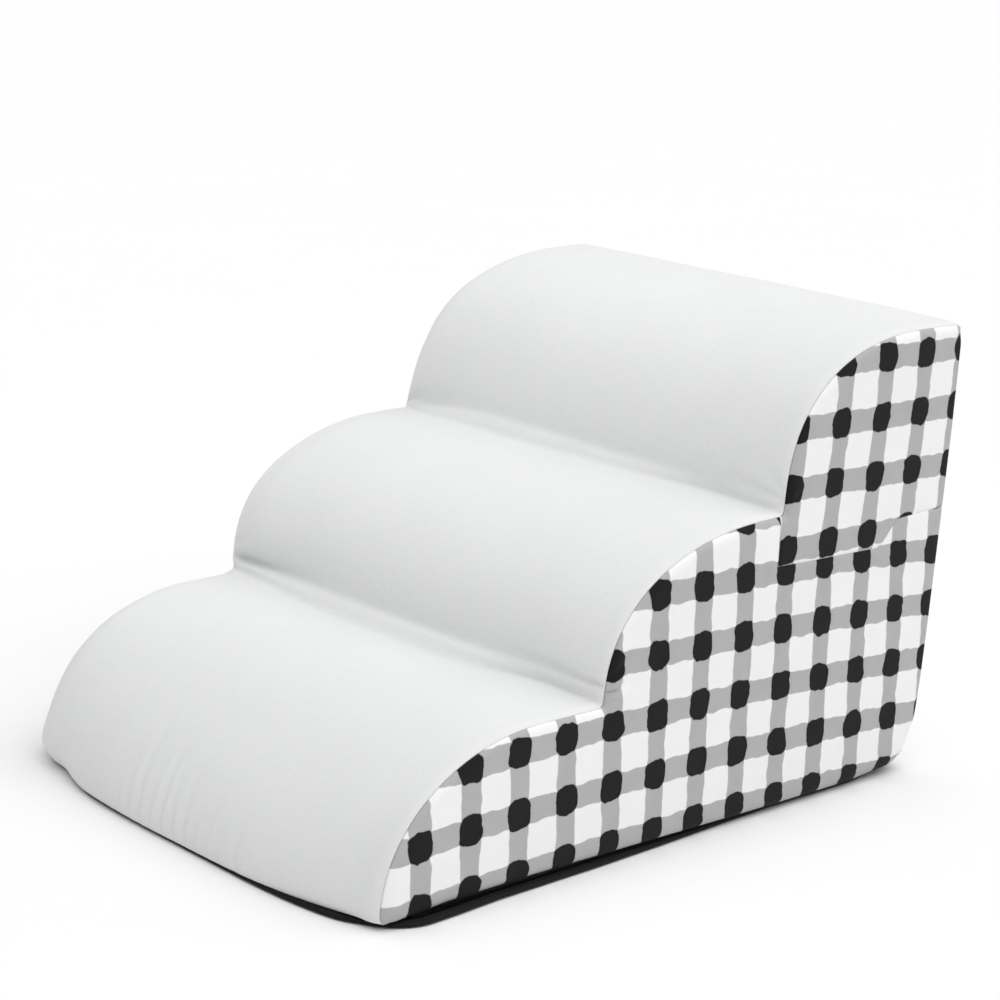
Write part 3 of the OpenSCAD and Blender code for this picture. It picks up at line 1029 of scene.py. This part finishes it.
def make_base():
    """Non-slip base: black cloth with rubber dots, its edge rolled into a welt."""
    recess = WELT_FULL[0][1] * MM
    outer = base_loop(0)
    count = len(outer)
    share = welt_share(outer)
    inward = inward_normals(outer)
    rings = []
    for full, low in zip(WELT_FULL, WELT_LOW):
        inset = MM * (full[0] * share + low[0] * (1 - share))
        height = MM * (full[1] * share + low[1] * (1 - share))
        rings.append(np.column_stack([outer + inset[:, None] * inward, height]))
    flat = rings[0][:, :2]
    closed = np.concatenate([flat, flat[:1]])
    grid = grid_points(np.arange(-0.19, 0.19, 0.02), np.arange(-0.27, 0.27, 0.02))
    keep = grid[inside(grid, flat)]
    keep = keep[nearest(keep, closed)[0] > 8 * MM]
    where, faces, source = fill_outline(np.concatenate([flat, keep]), count)
    points = [(p[0], p[1], recess) for p in where]
    faces = [face[::-1] for face in faces]
    at = {s: i for i, s in enumerate(source) if 0 <= s < count}
    ring = [at[i] for i in range(count)]
    for loop in rings[1:]:
        start = len(points)
        points += [tuple(p) for p in loop]
        for i in range(count):
            j = (i + 1) % count
            faces.append((ring[i], ring[j], start + j, start + i))
        ring = [start + i for i in range(count)]
    obj = mesh_object("base_cover", points, faces, BASE_CLOTH)
    thicken(obj, 0.8 * MM)
    dots = grip_dots(recess)
    for piece in (obj, dots):
        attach(piece, "root")
    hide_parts("base_panel")


def grip_dots(recess):
    """Rows of small rubber domes that stand on the floor."""
    pitch, radius, sides = 14 * MM, 2.1 * MM, 10
    points, faces = [], []
    row_pitch = 0.866 * pitch
    rows = int((BACK - FRONT) / row_pitch)
    places = np.array([
        (column * pitch + (row % 2) * pitch / 2, FRONT + 14 * MM + row * row_pitch)
        for row in range(rows) for column in range(-15, 16)
    ])
    places = places[inside(places, base_loop(12 * MM))]
    for x, y in places:
        start = len(points)
        for r, z in ((radius, recess + 0.05 * MM), (0.85 * radius, 0.18 * MM), (0.5 * radius, 0.02 * MM)):
            for k in range(sides):
                a = 2 * math.pi * k / sides
                points.append((x + r * math.cos(a), y + r * math.sin(a), z))
        points.append((x, y, 0))
        for ring in range(2):
            for k in range(sides):
                j = (k + 1) % sides
                low, high = start + ring * sides, start + (ring + 1) * sides
                faces.append((low + j, low + k, high + k, high + j))
        for k in range(sides):
            faces.append((start + 2 * sides + (k + 1) % sides, start + 2 * sides + k, start + 3 * sides))
        faces.append(tuple(start + k for k in range(sides)))
    return mesh_object("grip_dots", points, faces, GRIP)


# ---- band: front binding and zip ----


def band_path(inset, start_y, spacing, front=False):
    """The band's route at an inset: from the left front, round the back, to the right front.
    With front it is the rest of the loop, round the front."""
    if front:
        loop = base_loop(inset, 1 * MM, flare=False)
    else:
        loop = rounded_floor(inset, BACK, FRONT_CORNER, REAR_CORNER, 14, 1 * MM)
        loop[:, 1] -= BAND_FORWARD * smooth((loop[:, 1] - (BACK - BAND_REACH)) / (0.85 * BAND_REACH))
        for drawn in BAND_DRAWN:
            loop = drawn_corner(loop, *drawn)
    first = np.argmin(np.hypot(loop[:, 0] + HALF_W, loop[:, 1] - start_y))
    loop = np.roll(loop, -first, 0)
    keep = loop[:, 1] <= start_y + 2.5 * MM if front else loop[:, 1] >= start_y
    part = loop[keep]
    gap = np.argmax(np.linalg.norm(np.diff(part, axis=0), axis=1))
    if np.linalg.norm(part[gap + 1] - part[gap]) > 5 * MM:
        part = np.roll(part, -gap - 1, 0)
    if part[0, 0] > 0:
        part = part[::-1]
    return resample(part, spacing)


def outward_of(path):
    """Unit vectors that point out of the ramp along a path that starts on the left."""
    step = directions(path)
    out = np.stack([-step[:, 1], step[:, 0]], 1)
    middle = np.array([0, (FRONT + BACK) / 2])
    if ((path - middle) * out).sum() < 0:
        out = -out
    return out


def strip(name, path, section, material, thickness, node):
    """A narrow strip of cloth along path; section is (distance outwards, height) pairs."""
    out = outward_of(path)
    wide = len(section)
    points = [
        (p[0] + o[0] * d, p[1] + o[1] * d, z) for p, o in zip(path, out) for d, z in section
    ]
    faces = [
        (r * wide + c, (r + 1) * wide + c, (r + 1) * wide + c + 1, r * wide + c + 1)
        for r in range(len(path) - 1) for c in range(wide - 1)
    ]
    obj = mesh_object(name, points, faces, material)
    mesh = bmesh.new()
    mesh.from_mesh(obj.data)
    mesh.faces.ensure_lookup_table()
    mid = mesh.faces[len(mesh.faces) // 2]
    if mid.normal.y * np.sign(mid.calc_center_median().y) < 0:
        bmesh.ops.reverse_faces(mesh, faces=mesh.faces)
    mesh.to_mesh(obj.data)
    mesh.free()
    thicken(obj, thickness, 1)
    declare(obj, node)


def make_band():
    """Front binding and the two zip tapes."""
    front = band_path(TAPE_INSET, TAB_START, 3 * MM, front=True)
    rounded = [(-0.8 * MM, 1.3 * MM), (0.1 * MM, 1.2 * MM), (0.7 * MM, 2.4 * MM), (0.9 * MM, 4.2 * MM),
               (0.6 * MM, 6.2 * MM), (0, 8.5 * MM), (-0.4 * MM, 11 * MM)]
    strip("front_band", front, rounded, TAPE, 0.6 * MM, "front_binding")
    run = band_path(TAPE_INSET, TAB_START, 3 * MM)
    low = [(0.1 * MM, 1.7 * MM), (0.15 * MM, 3 * MM), (0, 4.6 * MM), (-0.1 * MM, COIL_LINE - 0.06 * MM)]
    strip("zip_tape_low", run, low, TAPE, 0.5 * MM, "zip_tape_lower")
    out = TAPE_INSET - 1.7 * MM
    high = [(-0.1 * MM, COIL_LINE + 0.06 * MM), (0, 8.2 * MM), (0.3 * MM, 10.2 * MM),
            (0.4 * out, 12 * MM), (0.5 * out, 15 * MM), (0.5 * out, 19.5 * MM)]
    strip("zip_tape_high", run, high, TAPE, 0.5 * MM, "zip_tape_upper")


# One nylon loop, from foot to head: share of its height, then half its length and half its depth
COIL_RINGS = (
    (0.0, 0.30, 0.25), (0.10, 0.42, 0.42), (0.62, 0.40, 0.46), (0.88, 0.56, 0.52), (1.0, 0.25, 0.2),
)
COIL_OVERLAP = 0.35 * MM


def make_coil(name, node, low, direction):
    """A row of nylon loops. direction is 1 where their heads point up and -1 where down."""
    pitch, sides = 1.5 * MM, 6
    path = band_path(TAPE_INSET - 0.65 * MM, COIL_START, pitch)
    out = outward_of(path)
    step = directions(path)
    points, faces = [], []
    foot = low if direction > 0 else low + COIL_WIDE
    shift = 0.25 if direction > 0 else 0.75
    for k in range(len(path) - 1):
        start = len(points)
        middle = path[k] + shift * pitch * step[k]
        for share, half_along, half_out in COIL_RINGS:
            z = foot + direction * share * (COIL_WIDE + COIL_OVERLAP)
            for s in range(sides):
                a = 2 * math.pi * s / sides
                p = middle + step[k] * half_along * MM * math.cos(a)
                p = p + out[k] * half_out * MM * math.sin(a)
                points.append((p[0], p[1], z))
        for ring in range(len(COIL_RINGS) - 1):
            for s in range(sides):
                j = (s + 1) % sides
                a, b = start + ring * sides, start + (ring + 1) * sides
                face = (a + s, a + j, b + j, b + s)
                faces.append(face if direction < 0 else face[::-1])
        faces.append(tuple(start + s for s in range(sides))[::-direction])
        head = start + (len(COIL_RINGS) - 1) * sides
        faces.append(tuple(head + s for s in range(sides))[::direction])
    declare(mesh_object(name, points, faces, NYLON), node)


def soft_block(name, node, material, bevel):
    """A block with rounded edges in the box of a small CAD node, which it stands for."""
    low, high = (Vector(corner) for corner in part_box(node))
    size, middle = high - low, (low + high) / 2
    mesh = bmesh.new()
    for v in bmesh.ops.create_cube(mesh, size=1)["verts"]:
        v.co = Vector((v.co.x * size.x, v.co.y * size.y, v.co.z * size.z)) + middle
    edges = list(mesh.edges)
    bmesh.ops.bevel(mesh, geom=edges, offset=bevel, segments=3, affect="EDGES", profile=0.6)
    declare(finished_bmesh(name, mesh, material, True), node)


def make_zip_ends():
    """The folded ends of the tapes, and the stops at both ends of the coils."""
    for side in ("left", "right"):
        soft_block(f"zip_end_fold_{side}", f"zip_end_tab_{side}", TAPE, 0.35 * MM)
    for name in ("start", "end"):
        soft_block(f"zip_{name}_clamp", f"zip_{name}_stop", NYLON, 0.3 * MM)


# ---- zip slider and its pull ----


def rounded_outline(corners, radius, steps=5):
    """A polygon with each corner rounded; the corners run anticlockwise."""
    corners = np.array(corners, float)
    points = []
    for k, corner in enumerate(corners):
        before, after = corners[k - 1] - corner, corners[(k + 1) % len(corners)] - corner
        reach = min(radius, np.linalg.norm(before) / 2.1, np.linalg.norm(after) / 2.1)
        start = corner + before / np.linalg.norm(before) * reach
        end = corner + after / np.linalg.norm(after) * reach
        for t in np.linspace(0, 1, steps):
            points.append((1 - t) ** 2 * start + 2 * t * (1 - t) * corner + t ** 2 * end)
    return np.array(points)


def plate(mesh, outline, x_low, x_high, bevel, holes=()):
    """Adds a plate with that outline in (y, z) to the mesh, its edges softened."""
    loops = [outline, *holes]
    start = np.cumsum([0] + [len(loop) for loop in loops])
    edges = [(int(a + k), int(a + (k + 1) % len(loop))) for a, loop in zip(start, loops)
             for k in range(len(loop))]
    cut = delaunay_2d_cdt([Vector(p) for p in np.concatenate(loops)], edges, [], 3 if holes else 1, 1e-9)
    verts = {}
    for x in (x_low, x_high):
        verts[x] = [mesh.verts.new((x, p[0], p[1])) for p in cut[0]]
    ring_edges = set()
    for face in cut[2]:
        mesh.faces.new([verts[x_high][i] for i in face])
        mesh.faces.new([verts[x_low][i] for i in reversed(face)])
        for a, b in zip(face, face[1:] + face[:1]):
            if (b, a) in ring_edges:
                ring_edges.discard((b, a))
            else:
                ring_edges.add((a, b))
    rims = []
    for a, b in ring_edges:
        side = mesh.faces.new([verts[x_high][b], verts[x_high][a], verts[x_low][a], verts[x_low][b]])
        rims += [e for e in side.edges if abs(e.verts[0].co.x - e.verts[1].co.x) < 1e-9]
    bmesh.ops.bevel(mesh, geom=rims, offset=bevel, segments=2, affect="EDGES", profile=0.6,
                    clamp_overlap=True)


def circle(y, z, radius, count=24, turn=-1):
    a = turn * np.linspace(0, 2 * math.pi, count, endpoint=False)
    return np.stack([y + radius * np.cos(a), z + radius * np.sin(a)], 1)


def rectangle(y_low, y_high, z_low, z_high):
    return [(y_low, z_low), (y_high, z_low), (y_high, z_high), (y_low, z_high)]


def make_slider():
    """Slider body: front plate with its flanges and bridge, and the plate behind the coils."""
    low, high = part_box("zip_slider")
    face = low[0]
    y, z = (low[1] + high[1]) / 2, (low[2] + high[2]) / 2
    half_y, half_z = (high[1] - low[1]) / 2, (high[2] - low[2]) / 2
    shape = [(-half_y, -0.62 * half_z), (-0.45 * half_y, -half_z), (0.7 * half_y, -half_z),
             (half_y, -0.7 * half_z), (half_y, 0.7 * half_z), (0.7 * half_y, half_z),
             (-0.45 * half_y, half_z), (-half_y, 0.62 * half_z)]
    outline = rounded_outline(np.array(shape) + (y, z), 0.9 * MM)
    smaller = (outline - (y, z)) * (1, 0.78) + (y, z)
    mesh = bmesh.new()
    plate(mesh, outline, face + 1.6 * MM, face + 2.5 * MM, 0.22 * MM)
    plate(mesh, smaller, face + 5.2 * MM, face + 6.0 * MM, 0.2 * MM)
    for side in (-1, 1):
        edge = z + side * (half_z - 0.36 * MM)
        flange = rectangle(y - 0.42 * half_y, y + 0.66 * half_y, edge - 0.33 * MM, edge + 0.33 * MM)
        plate(mesh, rounded_outline(flange, 0.2 * MM), face + 2.4 * MM, face + 3.8 * MM, 0.1 * MM)
    wide = 1.05 * MM
    bar = rectangle(y - 3.0 * MM, y + 3.0 * MM, z - wide, z + wide)
    plate(mesh, rounded_outline(bar, 0.8 * MM), face, face + 0.6 * MM, 0.18 * MM)
    for end in (-2.45 * MM, 2.45 * MM):
        leg = rectangle(y + end - 0.5 * MM, y + end + 0.5 * MM, z - 0.95 * wide, z + 0.95 * wide)
        plate(mesh, rounded_outline(leg, 0.25 * MM), face + 0.5 * MM, face + 1.7 * MM, 0.06 * MM)
    declare(finished_bmesh("zip_slider_body", mesh, METAL, False), "zip_slider", "slider")


def make_pull():
    """Flat pull: two arms on a cross bar, then a blade with a hole and a raised rib."""
    low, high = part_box("zip_pull")
    hinge_y = low[1] + 0.3 * MM
    z = (low[2] + high[2]) / 2
    half_z = (high[2] - low[2]) / 2
    tip_y = high[1] - half_z
    mesh = bmesh.new()
    arc_points = arc(tip_y, z, half_z, -90, 90, 14)
    neck = hinge_y + 4.6 * MM
    blade = np.concatenate([
        [(neck, z - 0.86 * half_z), (neck + 4 * MM, z - 0.78 * half_z)], arc_points,
        [(neck + 4 * MM, z + 0.78 * half_z), (neck, z + 0.86 * half_z)],
    ])
    plate(mesh, blade, low[0], high[0], 0.14 * MM, holes=[circle(tip_y, z, 1.3 * MM)])
    for side in (-1, 1):
        arm_z = z + side * 0.68 * half_z
        arm = rectangle(hinge_y - 0.2 * MM, neck + 0.3 * MM, arm_z - 0.42 * MM, arm_z + 0.42 * MM)
        plate(mesh, rounded_outline(arm, 0.3 * MM), low[0] + 0.02 * MM, high[0] - 0.02 * MM, 0.1 * MM)
    middle_x = (low[0] + high[0]) / 2
    bar = bmesh.ops.create_cone(
        mesh, segments=16, radius1=0.27 * MM, radius2=0.27 * MM, depth=1.7 * half_z, cap_ends=True)
    bmesh.ops.translate(mesh, verts=bar["verts"], vec=(middle_x, hinge_y, z))
    rib = rectangle(neck + 3 * MM, tip_y - 3.2 * MM, z - 0.7 * MM, z + 0.7 * MM)
    plate(mesh, rounded_outline(rib, 0.65 * MM), low[0], low[0] + 0.2 * MM, 0.05 * MM)
    declare(finished_bmesh("zip_pull_tab", mesh, METAL, False), "zip_pull", "pull")


# ---- foam ----


def foot_bevel(z):
    """How far the foam's lower edge is cut back, to clear the zip."""
    return 6.5 * MM * (1 - smooth(z / (20 * MM)))


def foam_depth(i):
    """How far the foam lies under the outline of the cover: deeper at the notches."""
    return FOAM_INSET + 0.6 * MM + 6 * MM * NEAR_NOTCH[i]


# The lowest slab's rear foot, cut back to clear the band: millimetres forward, and height
REAR_FOOT = (0, 34), (3.5, 22), (8, 12)


def slab_outline(first, last, foot, top):
    """Outline of a foam slab in (y, z), anticlockwise from its front foot, with its edge radii."""
    rows = np.arange(first, last + 1, 6)
    front = TIGHT[rows] - foam_depth(rows)[:, None] * NORMAL[rows]
    rear_y = BACK - 3.5 * MM
    front = front[front[:, 1] > foot]
    front[:, 1] = np.minimum(front[:, 1], top)
    front[:, 0] += foot_bevel(front[:, 1])
    edge = 3 * MM
    rest = [(rear_y - edge, top), (rear_y - 0.3 * edge, top - 0.3 * edge), (rear_y, top - edge),
            (rear_y, foot + edge), (rear_y - 0.3 * edge, foot + 0.3 * edge), (rear_y - edge, foot)]
    if first == 0:
        rest[3:] = [(rear_y - forward * MM, z * MM) for forward, z in REAR_FOOT]
        rest.append((rear_y - 12 * MM, foot))
    if last == COUNT - 1:
        rest = rest[2:]
    start = [(front[0, 0] + 0.4 * MM, foot)]
    return closed_loop(np.concatenate([start, front, rest])[::-1], 9 * MM)


# The foam's rear right corner is drawn in near the floor, like the base and the band there
LOW_CORNER_IN = 12 * MM
LOW_CORNER_FORWARD = 9 * MM


def make_slab(part, first, last, foot, top):
    """One foam slab: its outline carried across the ramp, rounded towards both sides."""
    outline = slab_outline(first, last, foot, top)
    inward = inward_normals(outline)
    _, near = nearest(outline, TIGHT)
    from_cover = np.linalg.norm(outline - TIGHT[near], axis=1)
    on_nose = 1 - smooth((from_cover - foam_depth(near) - 4 * MM) / (22 * MM))
    shares = np.concatenate([np.linspace(0.1, 1, 9), [1.6, 2.4, 3.4, 4.6]])
    y, z = outline[:, 0], outline[:, 1]
    by_rear = smooth((y - (BACK - 70 * MM)) / (66 * MM))
    rear_r = rear_radius(z) - 2 * MM
    low_corner = (1 - smooth((z - 5 * MM) / (26 * MM))) * smooth((y - (BACK - 90 * MM)) / (60 * MM))
    by_toe = 1.25 * (1 - smooth(z / (24 * MM))) * (1 - smooth((y - FRONT) / (60 * MM)))
    sections = []
    for side in (-1, 1):
        radius = 5 * MM + np.maximum(EDGE_R[side][near] - 13 * MM, 0) * on_nose
        radius = radius[:, None]
        half = HALF_W + np.minimum(EDGE_OUT[side][near], 0) - FOAM_INSET - 0.8 * MM
        half_sections = []
        for share in shares:
            a = share * radius
            drop = radius - np.sqrt(np.maximum(radius ** 2 - np.maximum(radius - a, 0) ** 2, 0))
            flat = outline + drop * inward
            across = half - a[:, 0] - foot_bevel(flat[:, 1])
            short = np.clip(rear_r - a[:, 0], 0, None)
            flat[:, 0] -= by_rear * (rear_r - np.sqrt(rear_r ** 2 - short ** 2))
            flat[:, 0] += by_toe * toe_tuck(side * across)
            if side > 0:
                across = across - LOW_CORNER_IN * low_corner
                flat[:, 0] -= LOW_CORNER_FORWARD * low_corner
            half_sections.append(np.column_stack([side * across, flat]))
        sections += half_sections if side < 0 else half_sections[::-1]
    count = len(outline)
    points = [tuple(p) for p in np.concatenate(sections)]
    faces = [
        (r * count + k, r * count + (k + 1) % count, (r + 1) * count + (k + 1) % count, (r + 1) * count + k)
        for r in range(len(sections) - 1) for k in range(count)
    ]
    for ring, turn in ((0, -1), (len(sections) - 1, 1)):
        where, cut, sources = fill_outline(sections[ring][:, 1:], count)
        at = []
        for p, source in zip(where, sources):
            at.append(len(points) if source < 0 else ring * count + source)
            if source < 0:
                points.append((points[ring * count][0], p[0], p[1]))
        faces += [tuple(at[i] for i in face)[::turn] for face in cut]
    obj = mesh_object(f"foam_{part}", points, faces, FOAM)
    mesh = bmesh.new()
    mesh.from_mesh(obj.data)
    bmesh.ops.recalc_face_normals(mesh, faces=mesh.faces)
    mesh.to_mesh(obj.data)
    mesh.free()
    declare(obj, f"foam_slab_{part}")


def make_foam():
    """The three slabs, glued on top of each other just below the notches."""
    glue_1, glue_2 = NOTCH_1[1] - 5 * MM, NOTCH_2[1] - 5 * MM
    make_slab("lower", 0, STEP_1, 2.4 * MM, glue_1)
    make_slab("middle", STEP_1, STEP_2, glue_1, glue_2)
    make_slab("upper", STEP_2, COUNT - 1, glue_2, TOP - FOAM_INSET)


# ---- stage ----

CAMERA_AZIMUTH = 45.13
CAMERA_ELEVATION = 13.9
CAMERA_ROLL = 3.83
CAMERA_DISTANCE = 1.910
CAMERA_TARGET = Vector((-0.0023, 0.0100, 0.2016))
CAMERA_LENS = 93.16
# Broad lights all round: degrees from +X towards +Y, degrees above the floor, and strength
SOFT_LIGHTS = (
    (80, 30, 0.24), (-60, 58, 0.24), (25, 58, 0.335), (180, 58, 0.14), (0, 90, 0.10),
)
SURROUNDINGS = 0.295
# A broad spot that lifts the top step
SPOT_ENERGY = 11
SPOT_DEGREES = 30
SPOT_PLACE = (-0.20, -1.10, 1.15)
SPOT_TARGET = Vector((0, 0.15, 0.33))
FLOOR_HALF = 40.0


def make_camera():
    data = bpy.data.cameras.new("camera")
    data.lens = CAMERA_LENS
    data.sensor_width = 36
    data.clip_end = 100
    camera = add_object("camera", data)
    a, e, r = (math.radians(x) for x in (CAMERA_AZIMUTH, CAMERA_ELEVATION, CAMERA_ROLL))
    back = Vector((math.sin(a) * math.cos(e), -math.cos(a) * math.cos(e), math.sin(e)))
    right = (-back).cross(Vector((0, 0, 1))).normalized()
    up = right.cross(-back)
    turned_right = right * math.cos(r) + up * math.sin(r)
    turned_up = up * math.cos(r) - right * math.sin(r)
    place = Matrix((turned_right, turned_up, back)).transposed().to_4x4()
    place.translation = CAMERA_TARGET + back * CAMERA_DISTANCE
    camera.matrix_world = place
    bpy.context.scene.camera = camera


def make_floor():
    """Pale floor, far wider than the picture."""
    n = Nodes("floor")
    color = n.mix(n.noise(n.place(), 3, 2), grey(0.90), grey(0.91))
    material = n.finish(color, n.bump(n.noise(n.place(), 300, 2), 0.02, 0.1 * MM), 0.9)
    ticks = np.linspace(-FLOOR_HALF, FLOOR_HALF, 9)
    points = [(x, y, 0) for y in ticks for x in ticks]
    floor = mesh_object("floor", points, grid_faces(9, 9), material)


def aim(obj, direction, axis):
    """Turns an object so that its axis points in that direction."""
    obj.rotation_mode = "QUATERNION"
    obj.rotation_quaternion = direction.to_track_quat(axis, "Y")


def make_light():
    """Even white surroundings, a broad spot and soft lights all round."""
    world = bpy.data.worlds.new("studio")
    world.use_nodes = True
    background = world.node_tree.nodes["Background"]
    background.inputs["Color"].default_value = (1, 1, 1, 1)
    background.inputs["Strength"].default_value = SURROUNDINGS
    bpy.context.scene.world = world

    spot = bpy.data.lights.new("top_step_light", "SPOT")
    spot.energy = SPOT_ENERGY
    spot.spot_size = math.radians(SPOT_DEGREES)
    spot.spot_blend = 1.0
    spot.shadow_soft_size = 0.25
    obj = add_object("top_step_light", spot)
    obj.location = SPOT_PLACE
    aim(obj, SPOT_TARGET - obj.location, "-Z")

    for k, (azimuth, elevation, share) in enumerate(SOFT_LIGHTS):
        light = bpy.data.lights.new(f"soft_light_{k}", "SUN")
        light.energy = share * math.pi
        light.angle = math.radians(60)
        a, e = math.radians(azimuth), math.radians(elevation)
        towards = Vector((math.cos(a) * math.cos(e), math.sin(a) * math.cos(e), math.sin(e)))
        aim(add_object(f"soft_light_{k}", light), towards, "Z")

    bpy.context.scene.view_settings.view_transform = "Standard"


make_camera()
make_floor()
make_light()
make_tread()
rear_right = make_side(1)
rear_left = make_side(-1)
make_back(rear_right, rear_left)
make_base()
make_band()
make_coil("zip_loops_high", "zip_coil_upper", COIL_LINE + 0.05 * MM, -1)
make_coil("zip_loops_low", "zip_coil_lower", COIL_LINE - 0.05 * MM - COIL_WIDE, 1)
make_zip_ends()
make_slider()
make_pull()
make_foam()
